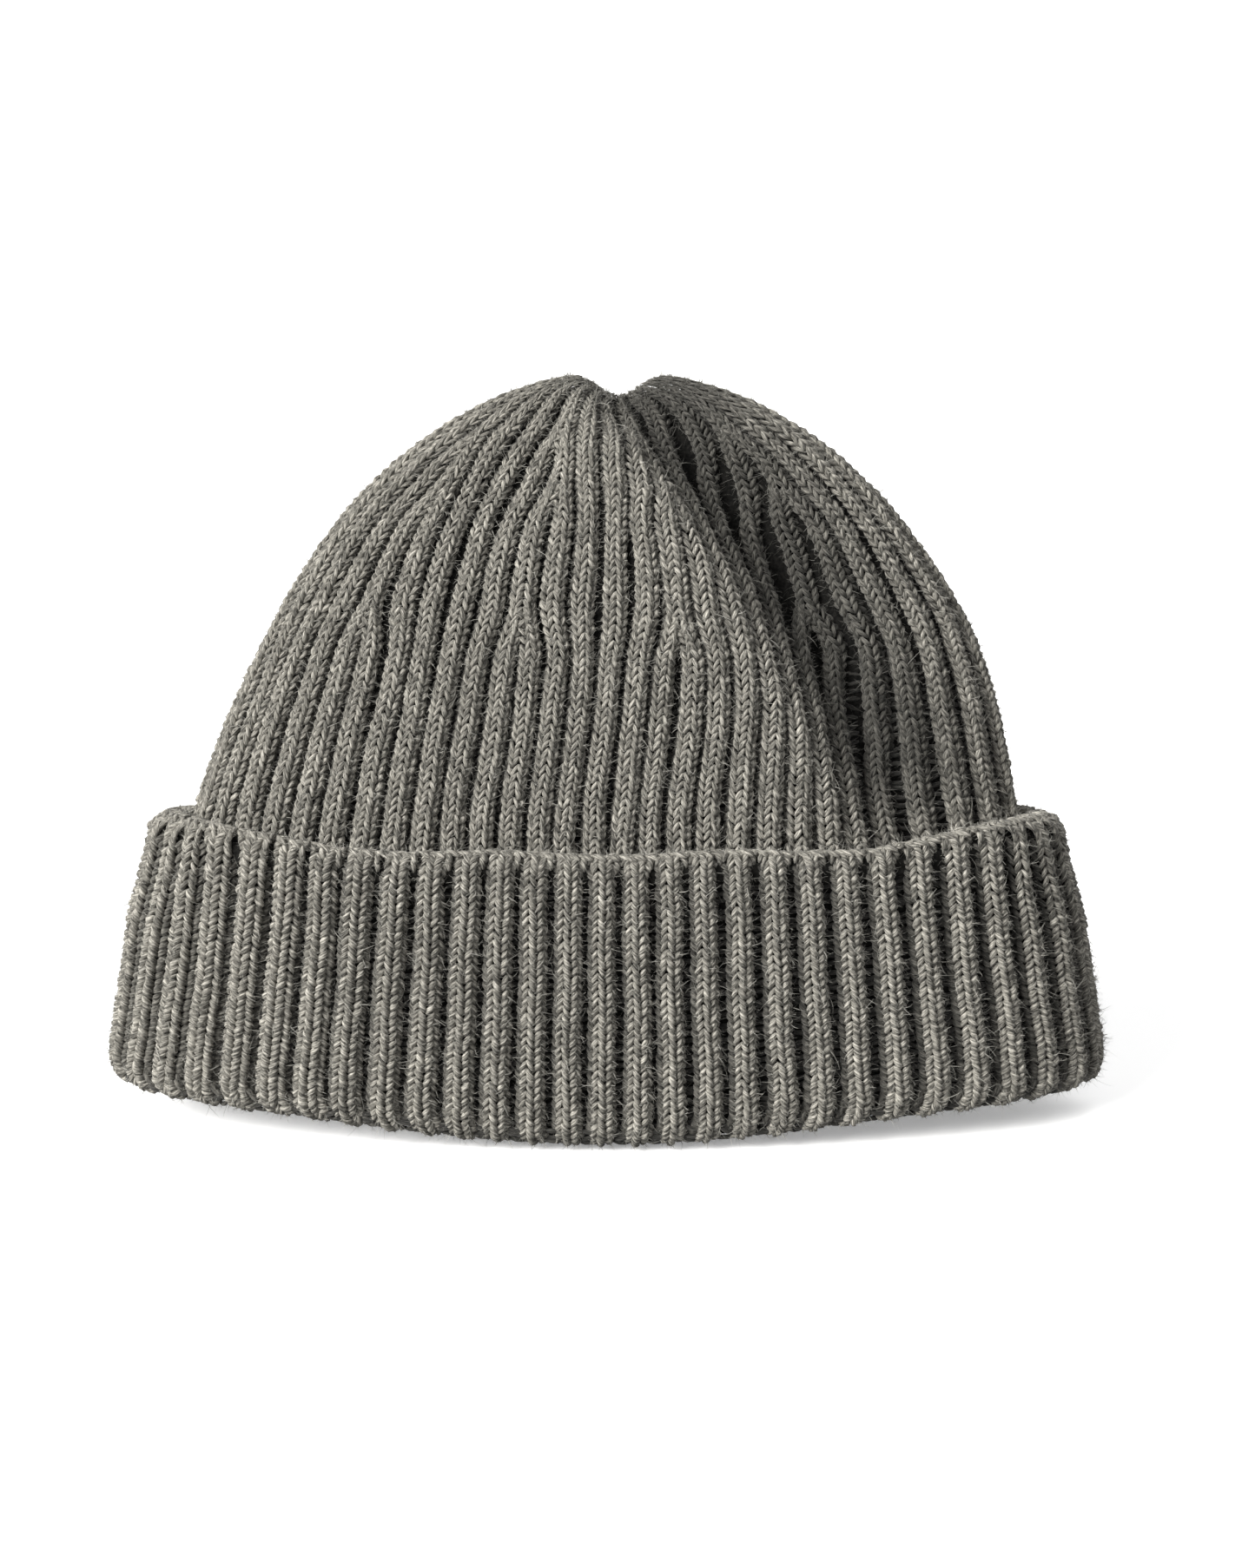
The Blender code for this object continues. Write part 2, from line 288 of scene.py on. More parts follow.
def body_surface(kappa, s):
    """Body surface at rib coordinate kappa and profile length s."""
    kappa, s = np.broadcast_arrays(kappa, s)
    row = np.clip(s / BODY_S[-1], 0.0, 1.0) * (EVEN.shape[0] - 1.0)
    column = (kappa % 1.0) * (EVEN.shape[1] - 1.0)
    r = np.minimum(row.astype(int), EVEN.shape[0] - 2)
    c = np.minimum(column.astype(int), EVEN.shape[1] - 2)
    fr, fc = row - r, column - c
    moved = ((EVEN[r, c] * (1.0 - fc) + EVEN[r, c + 1] * fc) * (1.0 - fr)
             + (EVEN[r + 1, c] * (1.0 - fc) + EVEN[r + 1, c + 1] * fc) * fr)
    return folded_body(kappa + moved, s)


def cuff_surface(kappa, s):
    """Points of the turned-up cuff's outer surface."""
    cx, cy = oval(warp(kappa))
    a = np.interp(s, CUFF_S, CUFF[:, 0]) + 3.5 * MM
    b = np.interp(s, CUFF_S, CUFF[:, 1])
    z = np.interp(s, CUFF_S, CUFF[:, 2])
    high = smooth(z, 42.0 * MM, 68.0 * MM)
    sway = np.sin(2.0 * np.pi * (3.0 * kappa + 0.15))
    sway = sway + 0.7 * np.sin(2.0 * np.pi * (7.0 * kappa + 0.4) + z / (20.0 * MM))
    x = a * cx
    y = b * cy * (1.0 + 0.006 * sway)
    z = z + high * 0.45 * MM * np.sin(2.0 * np.pi * (9.0 * kappa + 0.2))
    # the fold's two ends curl up off the surface the hat stands on
    spread = np.abs(x) / (120.0 * MM)
    low = 1.0 - smooth(z, 0.0, 40.0 * MM)
    z = z + 2.4 * MM * spread ** 2 + low * 4.6 * MM * smooth(spread, 0.0, 0.72)
    # at the two ends the lip leans in until it meets the body
    end = smooth(np.abs(cx), 0.78, 0.98)
    x = x - np.sign(x) * 2.8 * MM * end * high
    lip = 1.0 - smooth(s, 2.0 * MM, 14.0 * MM)
    x = x - np.sign(x) * 6.5 * MM * lip * end
    tall = 1.0 - smooth(s, 3.0 * MM, 26.0 * MM)
    rise = 2.5 + 1.7 * smooth(-cy, -0.1, 0.4) - 1.2 * smooth(cy, -0.1, 0.4)
    z = z + rise * MM * tall * smooth(np.abs(cx), 0.52, 0.9)
    return np.stack([x, y, z], -1)


# ---------------------------------------------------------------- knitting
def rib_sway(count, lengths, size):
    """Slow sideways drift of each rib along its length, (rows, ribs)."""
    drift = np.zeros((len(lengths), count))
    for wave_length in (26.0 * MM, 47.0 * MM, 90.0 * MM):
        phase = rng.uniform(0.0, 2.0 * np.pi, count)
        tilt = rng.uniform(0.5, 1.0, count)
        turn = 2.0 * np.pi * lengths[:, None] / wave_length + phase[None, :]
        drift += size * tilt[None, :] * np.sin(turn) / 3.0
    return drift


class Columns:
    """Where each knit column runs, as ribs merge at the decrease rounds.

    A stage holds, for each column, its rib's centre, the side of the rib it is
    on (-1 or 1, 0 once it has run into its neighbour) and whether it is alive.
    """

    def __init__(self, rounds, shift):
        ribs = RIBS
        centres = (np.arange(ribs) + 0.5 + shift) / ribs
        owner = np.repeat(np.arange(ribs), 2)
        side = np.tile([-1.0, 1.0], ribs)
        place = centres[owner]
        self.stages = [(place, side, np.ones(2 * ribs))]
        self.counts = [ribs]
        alive = np.ones(2 * ribs)
        self.turns = []
        for number, height in enumerate(rounds):
            group = (6, 5, 4)[number]
            first = (2, 2, 1)[number]
            left_of = group - 1
            new_ribs = ribs // group * left_of
            fresh = (np.arange(new_ribs) + 0.5 + shift * new_ribs / RIBS) / new_ribs
            slot = owner % group
            kept = np.where(slot > first, slot - 1, slot)
            new_owner = owner // group * left_of + kept
            gone = ((slot == first) & (side > 0)) | ((slot == first + 1) & (side < 0))
            gone = gone & (alive > 0)
            place = np.where(alive > 0, fresh[new_owner], place)
            side = np.where(gone, 0.0, side)
            jitter = rng.uniform(-2.6, 2.6, ribs // group)[owner // group] * MM
            self.turns.append(np.where(alive > 0, height + jitter, height))
            alive = np.where(gone, 0.0, alive)
            self.stages.append((place, side, alive))
            self.counts.append(new_ribs)
            owner = new_owner
            ribs = new_ribs
        self.total = 2 * RIBS

    def at(self, s, shift=0.0):
        """kappa, side, alive and rib count at lengths s, shape (rows, columns).

        A shift of 0.5 gives the middle of the groove beside each rib.
        """
        rows = s[:, None]
        place, side, alive = self.stages[0]
        kappa = np.repeat(place[None], len(s), 0)
        offset = np.repeat(side[None], len(s), 0)
        living = np.ones_like(kappa)
        count = np.full_like(kappa, float(self.counts[0]))
        for number, turn in enumerate(self.turns):
            new_place, new_side, new_alive = self.stages[number + 1]
            close = smooth(rows, turn[None] - 11.0 * MM, turn[None] + 2.0 * MM)
            kappa = kappa + (new_place[None] - kappa) * close
            offset = offset + (new_side[None] - offset) * close
            count = count + (self.counts[number + 1] - count) * close
            ended = (new_alive[None] < 0.5) & (rows > turn[None] - 0.5 * MM)
            living = np.where(ended, 0.0, living)
        return kappa + shift / count, offset, living, count


def frames(surface, columns, s, outward, drift, shift=0.0):
    """Position and directions of every column at every row."""
    step = 0.4 * MM
    kappa, offset, living, count = columns.at(s, shift)
    sway = drift[:, np.arange(columns.total) // 2]
    rows = np.repeat(s[:, None], columns.total, 1)
    turn = 0.0008
    here = surface(kappa, rows)
    side = (surface(kappa + turn, rows) - surface(kappa - turn, rows)) / (2.0 * turn)
    ahead_kappa = columns.at(s + step, shift)[0]
    behind_kappa = columns.at(s - step, shift)[0]
    ahead = surface(ahead_kappa, rows + step) - surface(behind_kappa, rows - step)
    ahead = ahead / (2.0 * step)
    normal = unit(np.cross(side, ahead)) * outward
    up = unit(ahead - normal * np.sum(ahead * normal, -1, keepdims=True))
    across = unit(np.cross(up, normal)) * outward
    side_sign = np.sign(np.sum(across * side, -1))
    across = across * side_sign[..., None]
    pitch = np.linalg.norm(np.cross(side, up), axis=-1) / count
    stretch = np.linalg.norm(ahead, axis=-1)
    here = here + across * sway[..., None]
    return dict(here=here, across=across, up=up, normal=normal, pitch=pitch,
                stretch=stretch, offset=offset, living=living, kappa=kappa, rows=rows)


def take(data, mask):
    """The columns and rows that a mask picks, as flat arrays."""
    return {key: value[mask] for key, value in data.items()}


def legs(data, roll, flat, sinks, tilt, spread):
    """Two strands per stitch, and one more down each side of the rib."""
    size = np.clip(data["pitch"] / FULL_PITCH, 0.22, 1.08)
    size = size * np.clip(data["pitch"] / spread, 1.0, 1.5) * (1.0 - data["narrow"])
    lane = LANE * size
    lane = lane + (data["pitch"] / 4.0 - lane) * flat
    curve = RIB_RADIUS * size / (1.0 - 0.97 * flat)
    roll = roll * (1.0 - flat) * data["lean"]
    outer = np.abs(data["offset"]) > 0.8
    out = []
    for hand in (-1.0, 1.0):
        centre = data["offset"] + hand / 2.0
        out.append(lay(data, centre, hand, lane, curve, roll, size, sinks, tilt))
    side = np.sign(data["offset"])
    flank = take(dict(data, lane=lane, curve=curve, roll=roll, size=size, side=side),
                 outer & (flat < 0.6))
    for hand in (-1.0, 1.0):
        part = take(flank, flank["side"] == hand)
        out.append(lay(part, 2.5 * part["side"], -hand, part["lane"], part["curve"],
                       part["roll"], part["size"], sinks, tilt))
    return join(out)


def lay(data, centre, hand, lane, curve, roll, size, sinks, tilt):
    """One leg per stitch, centred so many lanes from the middle of the rib."""
    count = len(lane)
    t = LEG_STEPS[None, :]
    wobble = rng.normal(0.0, 1.0, (4, count, 1))
    reach = (centre * lane)[:, None] + hand * (t - 0.5) * LEG_REACH * lane[:, None]
    reach = reach + 0.09 * MM * wobble[0]
    angle = reach / curve[:, None] + roll[:, None]
    sine, cosine = np.sin(angle), np.cos(angle)
    lateral = curve[:, None] * (sine - 0.6 * np.sin(roll[:, None]))
    drop = curve[:, None] * (cosine - 1.0) + (tilt * data["lean"])[:, None] * lateral
    across, up, normal = (data[k][:, None, :] for k in ("across", "up", "normal"))
    facing = normal * cosine[..., None] + across * sine[..., None]
    tangent = across * cosine[..., None] - normal * sine[..., None]
    row = (ROW * data["stretch"])[:, None]
    bulge = np.where(t < 0.5, sinks[0], sinks[1]) * ((t - 0.5) / 0.5) ** 2
    sink = -(0.60 + bulge) * MM * size[:, None] + 0.08 * MM * wobble[1]
    climb = (t - 0.5) * LEG_CLIMB * row + 0.12 * MM * wobble[2]
    spine = (data["here"][:, None, :] + across * lateral[..., None]
             + normal * drop[..., None] + facing * sink[..., None]
             + up * climb[..., None])
    run = unit(tangent * (hand * LEG_REACH * lane[:, None])[..., None]
               + up * (LEG_CLIMB * row)[..., None])
    breadth = np.cross(facing, run)
    swell = 1.0 + 0.09 * wobble[3]
    thin = np.interp(t, LEG_STEPS, LEG_THIN) * MM
    deep = np.interp(t, LEG_STEPS, LEG_DEEP) * MM
    scale = size[:, None] * swell
    # painted shade: legs darken towards the edges of their rib, as far as the groove shade of
    # their place allows
    shade = smooth(np.abs(reach) / lane[:, None], 1.3, 2.6) * data["open"][:, None]
    return strand(spine, breadth, facing, thin * scale, deep * scale, hand, shade)


def strand(spine, breadth, facing, thin, deep, twist, shade=0.0):
    """Rings of vertices round each spine, its yarn coordinates, tone and painted shade."""
    count, steps = spine.shape[:2]
    theta = np.arange(RING) * 2.0 * np.pi / RING
    ring = (breadth[:, :, None, :] * (thin[..., None] * np.cos(theta))[..., None]
            + facing[:, :, None, :] * (deep[..., None] * np.sin(theta))[..., None])
    points = spine[:, :, None, :] + ring
    length = np.linalg.norm(np.diff(spine, axis=1), axis=-1).cumsum(1)
    length = np.concatenate([np.zeros((count, 1)), length], 1)
    start = rng.uniform(0.0, 400.0, (count, 1))
    run = np.repeat((length / MM + start)[:, :, None], RING, 2)
    wind = theta[None, None, :] + twist * 0.35 * (length / MM)[:, :, None]
    yarn = np.stack([run, 0.6 * np.cos(wind), 0.6 * np.sin(wind)], -1)
    tone = np.repeat(rng.normal(0.0, 1.0, (count, 1, 1)), steps, 1)
    tone = np.repeat(tone, RING, 2)
    return points, yarn, tone, np.zeros_like(tone) + np.atleast_2d(shade)[:, :, None]


def join(groups):
    """Several groups of strands as one."""
    return tuple(np.concatenate(parts, 0) for parts in zip(*groups))


def bars(data, deeper):
    """Short purl bumps that cross the floor of each groove."""
    count = len(data["pitch"])
    t = np.linspace(0.0, 1.0, 4)[None, :]
    size = np.clip(data["pitch"] / (5.6 * MM), 0.25, 1.0)[:, None]
    wobble = rng.normal(0.0, 1.0, (3, count, 1))
    gap = np.maximum(data["pitch"] - FULL_PITCH, 0.0)[:, None]
    span = (t - 0.5) * (3.0 * MM * size + 0.9 * gap)
    across, up, normal = (data[k][:, None, :] for k in ("across", "up", "normal"))
    rise = (0.45 * (1.0 - (2.0 * t - 1.0) ** 2) + 0.08 * wobble[0]) * MM * size
    climb = 1.0 * MM * (t - 0.5) * wobble[1] + 0.3 * MM * wobble[2]
    level = -deeper[:, None] * size
    spine = (data["here"][:, None, :] + across * span[..., None]
             + normal * (level + rise)[..., None] + up * climb[..., None])
    breadth = np.repeat(up, 4, 1)
    facing = np.repeat(normal, 4, 1)
    thick = np.interp(t, [0.0, 0.3, 0.7, 1.0], [0.40, 0.56, 0.56, 0.40]) * MM * size
    return strand(spine, breadth, facing, thick, thick, 1.0)


# ----------------------------------------------------------------- meshes
def mesh_object(name, points, faces, body, material):
    """A quad mesh from arrays, riding on a body."""
    mesh = bpy.data.meshes.new(name)
    flat_faces = faces.reshape(-1).astype(np.int32)
    mesh.vertices.add(len(points))
    mesh.vertices.foreach_set("co", points.astype(np.float32).reshape(-1))
    mesh.loops.add(len(flat_faces))
    mesh.loops.foreach_set("vertex_index", flat_faces)
    mesh.polygons.add(len(faces))
    starts = np.arange(0, len(flat_faces), 4, dtype=np.int32)
    mesh.polygons.foreach_set("loop_start", starts)
    mesh.update(calc_edges=True)
    mesh.polygons.foreach_set("use_smooth", np.ones(len(faces), dtype=bool))
    mesh.materials.append(material)
    piece = bpy.data.objects.new(name, mesh)
    bpy.context.scene.collection.objects.link(piece)
    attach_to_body(piece, body)
    return piece


def attach(mesh, name, kind, values):
    """Store one value for each vertex, for a material to read."""
    layer = mesh.attributes.new(name, kind, "POINT")
    key = "vector" if kind == "FLOAT_VECTOR" else "value"
    layer.data.foreach_set(key, values.astype(np.float32).reshape(-1))


def cells(count, steps, faces_each):
    """Bake coordinates: one small cell of the sheet for each strand."""
    side = math.ceil(math.sqrt(count))
    index = np.arange(count)
    corner = np.stack([index % side, index // side], -1)[:, None, None, :] / side
    turn = np.arange(RING)
    uv = np.zeros((count, steps - 1, RING, 4, 2))
    low = np.arange(steps - 1)[:, None] / (steps - 1)
    high = (np.arange(steps - 1)[:, None] + 1.0) / (steps - 1)
    left, right = turn[None, :] / RING, (turn[None, :] + 1.0) / RING
    around = ((left, low), (right, low), (right, high), (left, high))
    for place, (u, v) in enumerate(around):
        uv[:, :, :, place, 0] = u
        uv[:, :, :, place, 1] = v
    uv = uv.reshape(count, -1, 4, 2)
    caps = np.full((count, faces_each - uv.shape[1], 4, 2), 0.5)
    caps[:, :2, :, 1] = 0.02
    caps[:, 2:, :, 1] = 0.98
    uv = np.concatenate([uv, caps], 1)
    return (corner + (0.08 + 0.84 * uv) / side).reshape(-1)


def strands_object(name, strands, body, material):
    """All the strands of one patch as a single piece."""
    points, yarn, tone, shade = strands
    count, steps = points.shape[:2]
    each = steps * RING
    ring = np.arange(RING)
    after = (ring + 1) % RING
    quads = []
    for step in range(steps - 1):
        low, high = step * RING, (step + 1) * RING
        quads.append(np.stack([low + ring, low + after, high + after, high + ring], 1))
    last = (steps - 1) * RING
    caps = np.array([
        [3, 2, 1, 0], [5, 4, 3, 0],
        [last, last + 1, last + 2, last + 3], [last, last + 3, last + 4, last + 5],
    ])
    one = np.vstack(quads + [caps])
    faces = (one[None] + (np.arange(count) * each)[:, None, None]).reshape(-1, 4)
    piece = mesh_object(name, points.reshape(-1, 3), faces, body, material)
    attach(piece.data, "yarn", "FLOAT_VECTOR", yarn)
    attach(piece.data, "tone", "FLOAT", tone)
    attach(piece.data, "shade", "FLOAT", shade)
    layer = piece.data.uv_layers.new(name="OFBake")
    layer.data.foreach_set("uv", cells(count, steps, len(one)).astype(np.float32))
    return piece


def sheet_object(name, surface, s_values, steps, inset, outward, body, material,
                 closed=False):
    """A smooth backing skin a little below the stitches."""
    kappa = np.arange(steps) / steps
    kk, ss = np.meshgrid(kappa, s_values)
    here = surface(kk, ss)
    side = surface(kk + 0.001, ss) - surface(kk - 0.001, ss)
    ahead = surface(kk, ss + 0.3 * MM) - surface(kk, ss - 0.3 * MM)
    normal = unit(np.cross(side, ahead)) * outward
    points = here - normal * np.asarray(inset)[:, None, None]
    if closed:
        points[-1] = points[-1].mean(0) - np.array([0.0, 0.0, 1.0 * MM])
    rows = len(s_values)
    index = np.arange(rows * steps).reshape(rows, steps)
    nxt = np.roll(index, -1, 1)
    quads = np.stack([index[:-1], nxt[:-1], nxt[1:], index[1:]], -1).reshape(-1, 4)
    if outward < 0:
        quads = quads[:, ::-1]
    piece = mesh_object(name, points.reshape(-1, 3), quads, body, material)
    layer = piece.data.uv_layers.new(name="OFBake")
    u = np.stack([np.arange(steps), np.arange(steps) + 1.0,
                  np.arange(steps) + 1.0, np.arange(steps)], -1) / steps
    v = np.arange(rows) / (rows - 1.0)
    uv = np.zeros((rows - 1, steps, 4, 2))
    uv[..., 0] = u[None]
    uv[..., 0:2, 1] = v[:-1, None, None]
    uv[..., 2:4, 1] = v[1:, None, None]
    if outward < 0:
        uv = uv[:, :, ::-1]
    layer.data.foreach_set("uv", uv.astype(np.float32).reshape(-1))
    return piece


def fuzz_object(name, roots, body):
    """Short stray fibres that stand off the yarn, as narrow curved ribbons."""
    count = FIBRES
    chosen = roots[rng.integers(0, len(roots), count)]
    middle = chosen.mean(1)
    edge = rng.integers(0, 4, count)
    start = chosen[np.arange(count), edge]
    out = unit(start - middle)
    drift = unit(rng.normal(0.0, 1.0, (count, 3)))
    length = np.clip(rng.lognormal(0.42, 0.50, (count, 1)), 0.5, 4.2) * MM
    lean = np.where(rng.uniform(0.0, 1.0, (count, 1)) < 0.40, 0.18, 1.3)
    bend = unit(rng.normal(0.0, 1.0, (count, 3)))
    heading = unit(out * lean + drift * 0.8)
    t = np.linspace(0.0, 1.0, 4)[None, :, None]
    spine = (start[:, None] - out[:, None] * 0.12 * MM
             + heading[:, None] * length[:, None] * t
             + bend[:, None] * length[:, None] * 0.45 * t * t
             - out[:, None] * length[:, None] * 0.25 * t ** 3)
    wide = unit(np.cross(heading, bend))[:, None]
    wide = wide * rng.uniform(0.028, 0.056, (count, 1, 1)) * MM
    wide = wide * np.interp(t, [0.0, 0.6, 1.0], [1.0, 0.8, 0.25])
    points = np.stack([spine - wide, spine + wide], 2)
    low = np.arange(3)[:, None] * 2 + np.array([0, 1, 3, 2])[None]
    faces = (low[None] + (np.arange(count) * 8)[:, None, None]).reshape(-1, 4)
    piece = mesh_object(name, points.reshape(-1, 3), faces, body, FUZZ)
    tone = rng.uniform(0.0, 1.0, count)
    # painted shade: fibres beside the main crease are darker
    if body == "hat":
        tone = tone * (1.0 - 0.85 * crease_shade(start))
    tone = np.repeat(tone, 8)
    attach(piece.data, "tone", "FLOAT", tone)
    side = math.ceil(math.sqrt(count))
    index = np.arange(count)
    corner = np.stack([index % side, index // side], -1)[:, None, None, :]
    box = np.array([[0.1, 0.0], [0.9, 0.0], [0.9, 1.0], [0.1, 1.0]])
    step = np.arange(3)[:, None, None] * np.array([0.0, 1.0])
    cell = (box[None] + step) * np.array([1.0, 0.27]) + np.array([0.0, 0.1])
    uv = (corner + cell[None]) / side
    layer = piece.data.uv_layers.new(name="OFBake")
    layer.data.foreach_set("uv", uv.astype(np.float32).reshape(-1))
    return piece


def edge_chain():
    """The cast-on edge: slanted loops lying along the top of the cuff."""
    loops = 150
    made = []
    for s, slant, shift in ((6.8 * MM, 1.0, 0.0), (8.8 * MM, -1.0, 0.5)):
        kappa = (np.arange(loops) + shift) / loops
        rows = np.full(loops, s)
        here = cuff_surface(kappa, rows)
        side = cuff_surface(kappa + 0.001, rows) - cuff_surface(kappa - 0.001, rows)
        ahead = cuff_surface(kappa, rows + 0.2 * MM) - cuff_surface(kappa, rows - 0.2 * MM)
        pace = np.linalg.norm(side, axis=-1) * 500.0 / loops
        across = unit(side)
        normal = unit(np.cross(ahead, side))
        up = np.cross(normal, across)
        t = LEG_STEPS[None, :, None]
        wobble = rng.normal(0.0, 1.0, (3, loops, 1, 1))
        span = pace[:, None, None] * 1.25
        arch = 0.45 * MM * (1.0 - (2.0 * t - 1.0) ** 2)
        spine = (here[:, None] + across[:, None] * span * (t - 0.5)
                 + up[:, None] * slant * (2.6 * MM * (t - 0.5) + 0.15 * MM * wobble[0])
                 + normal[:, None] * (arch - 0.75 * MM + 0.12 * MM * wobble[1]))
        run = unit(across[:, None] * span + up[:, None] * slant * 2.6 * MM)
        facing = np.repeat(normal[:, None], len(LEG_STEPS), 1)
        breadth = np.cross(facing, np.broadcast_to(run, facing.shape))
        thick = np.interp(t[..., 0], LEG_STEPS, [0.40, 0.62, 0.68, 0.62, 0.40]) * MM
        thick = thick * (1.0 + 0.06 * wobble[2][:, :, 0])
        made.append(strand(spine, breadth, facing, thick, thick, slant))
    return join(made)


# -------------------------------------------------------------- materials
def wool(name, dark, mid, light):
    """Heathered wool: fine fibres that wind along each strand."""
    material = bpy.data.materials.new(name)
    material.use_nodes = True
    tree = material.node_tree
    nodes, links = tree.nodes, tree.links
    shader = nodes["Principled BSDF"]
    shader.inputs["Roughness"].default_value = 0.88
    shader.inputs["Specular IOR Level"].default_value = 0.25
    shader.inputs["Sheen Weight"].default_value = 0.14
    shader.inputs["Sheen Roughness"].default_value = 0.45
    shader.inputs["Sheen Tint"].default_value = (0.92, 0.90, 0.84, 1.0)

    yarn = nodes.new("ShaderNodeAttribute")
    yarn.attribute_name = "yarn"
    stretch = nodes.new("ShaderNodeVectorMath")
    stretch.operation = "MULTIPLY"
    stretch.inputs[1].default_value = (0.34, 2.9, 2.9)
    links.new(yarn.outputs["Vector"], stretch.inputs[0])
    fibre = nodes.new("ShaderNodeTexNoise")
    fibre.inputs["Scale"].default_value = 1.25
    fibre.inputs["Detail"].default_value = 2.5
    fibre.inputs["Roughness"].default_value = 0.6
    links.new(stretch.outputs[0], fibre.inputs["Vector"])

    place = nodes.new("ShaderNodeTexCoord")
    patch = nodes.new("ShaderNodeTexNoise")
    patch.inputs["Scale"].default_value = 95.0
    patch.inputs["Detail"].default_value = 2.0
    links.new(place.outputs["Object"], patch.inputs["Vector"])

    tone = nodes.new("ShaderNodeAttribute")
    tone.attribute_name = "tone"
    gather = nodes.new("ShaderNodeMath")
    gather.operation = "MULTIPLY_ADD"
    gather.inputs[1].default_value = 0.022
    links.new(tone.outputs["Fac"], gather.inputs[0])
    links.new(fibre.outputs["Fac"], gather.inputs[2])
    blend = nodes.new("ShaderNodeMath")
    blend.operation = "MULTIPLY_ADD"
    blend.inputs[1].default_value = 0.07
    links.new(patch.outputs["Fac"], blend.inputs[0])
    links.new(gather.outputs[0], blend.inputs[2])

    ramp = nodes.new("ShaderNodeValToRGB")
    ramp.color_ramp.elements[0].position = 0.36
    ramp.color_ramp.elements[0].color = (*dark, 1.0)
    ramp.color_ramp.elements[1].position = 0.74
    ramp.color_ramp.elements[1].color = (*light, 1.0)
    middle = ramp.color_ramp.elements.new(0.54)
    middle.color = (*mid, 1.0)
    links.new(blend.outputs[0], ramp.inputs["Fac"])
    # painted shade: the stored shade darkens the yarn's colour by up to 85 per cent
    shade = nodes.new("ShaderNodeAttribute")
    shade.attribute_name = "shade"
    keep = nodes.new("ShaderNodeMath")
    keep.operation = "MULTIPLY_ADD"
    keep.inputs[1].default_value = -0.85
    keep.inputs[2].default_value = 1.0
    links.new(shade.outputs["Fac"], keep.inputs[0])
    darken = nodes.new("ShaderNodeVectorMath")
    darken.operation = "SCALE"
    links.new(ramp.outputs["Color"], darken.inputs[0])
    links.new(keep.outputs[0], darken.inputs["Scale"])
    links.new(darken.outputs[0], shader.inputs["Base Color"])

    relief = nodes.new("ShaderNodeBump")
    relief.inputs["Strength"].default_value = 0.8
    relief.inputs["Distance"].default_value = 0.25 * MM
    links.new(fibre.outputs["Fac"], relief.inputs["Height"])
    links.new(relief.outputs["Normal"], shader.inputs["Normal"])
    return material


def plain_wool(name, dark, light, scale):
    """Felted wool: near black as painted shade on surfaces behind the stitches, paler for the
    thread.
    """
    material = bpy.data.materials.new(name)
    material.use_nodes = True
    tree = material.node_tree
    nodes, links = tree.nodes, tree.links
    shader = nodes["Principled BSDF"]
    shader.inputs["Roughness"].default_value = 0.95
    shader.inputs["Specular IOR Level"].default_value = 0.1
    place = nodes.new("ShaderNodeTexCoord")
    grain = nodes.new("ShaderNodeTexNoise")
    grain.inputs["Scale"].default_value = scale
    grain.inputs["Detail"].default_value = 4.0
    links.new(place.outputs["Object"], grain.inputs["Vector"])
    ramp = nodes.new("ShaderNodeValToRGB")
    ramp.color_ramp.elements[0].position = 0.35
    ramp.color_ramp.elements[0].color = (*dark, 1.0)
    ramp.color_ramp.elements[1].position = 0.68
    ramp.color_ramp.elements[1].color = (*light, 1.0)
    links.new(grain.outputs["Fac"], ramp.inputs["Fac"])
    links.new(ramp.outputs["Color"], shader.inputs["Base Color"])
    relief = nodes.new("ShaderNodeBump")
    relief.inputs["Strength"].default_value = 0.7
    relief.inputs["Distance"].default_value = 0.5 * MM
    links.new(grain.outputs["Fac"], relief.inputs["Height"])
    links.new(relief.outputs["Normal"], shader.inputs["Normal"])
    return material


def plain_fibre(name, dark, light):
    """Loose fibres, each one shade between dark and light."""
    material = bpy.data.materials.new(name)
    material.use_nodes = True
    tree = material.node_tree
    nodes, links = tree.nodes, tree.links
    shader = nodes["Principled BSDF"]
    shader.inputs["Roughness"].default_value = 0.7
    shader.inputs["Specular IOR Level"].default_value = 0.3
    tone = nodes.new("ShaderNodeAttribute")
    tone.attribute_name = "tone"
    ramp = nodes.new("ShaderNodeValToRGB")
    ramp.color_ramp.elements[0].color = (*dark, 1.0)
    ramp.color_ramp.elements[1].color = (*light, 1.0)
    links.new(tone.outputs["Fac"], ramp.inputs["Fac"])
    links.new(ramp.outputs["Color"], shader.inputs["Base Color"])
    return material


YARN = wool("heather_wool", (0.024, 0.023, 0.020), (0.165, 0.157, 0.137),
            (0.47, 0.448, 0.395))
# painted shade: a much darker copy of the yarn, for the purl bumps in the grooves
SHADE = wool("heather_wool_groove_painted_shade", (0.005, 0.005, 0.0045), (0.020, 0.019, 0.017),
             (0.06, 0.057, 0.051))
# painted shade: near-black wool for the skin behind the cuff's stitches
BACKING_SHADE = plain_wool("wool_backing_painted_shade", (0.004, 0.004, 0.0035), (0.014, 0.0135, 0.012), 900.0)
THREAD = plain_wool("gathering_yarn", (0.030, 0.029, 0.026), (0.22, 0.21, 0.185), 1500.0)
# painted shadow: near-black wool for the skin behind the body's stitches
SHADOW = plain_wool("wool_inside_painted_shadow", (0.002, 0.002, 0.0018), (0.010, 0.0095, 0.0085), 1300.0)
FUZZ = plain_fibre("stray_fibres", (0.055, 0.053, 0.047), (0.36, 0.35, 0.315))


# ------------------------------------------------------------- the pieces
def rows_between(low, high):
    """Profile lengths of the knit rows between two lengths."""
    return np.arange(low + ROW / 2.0, high, ROW)


def nowhere(s):
    """0 at every profile length."""
    return np.zeros_like(s)


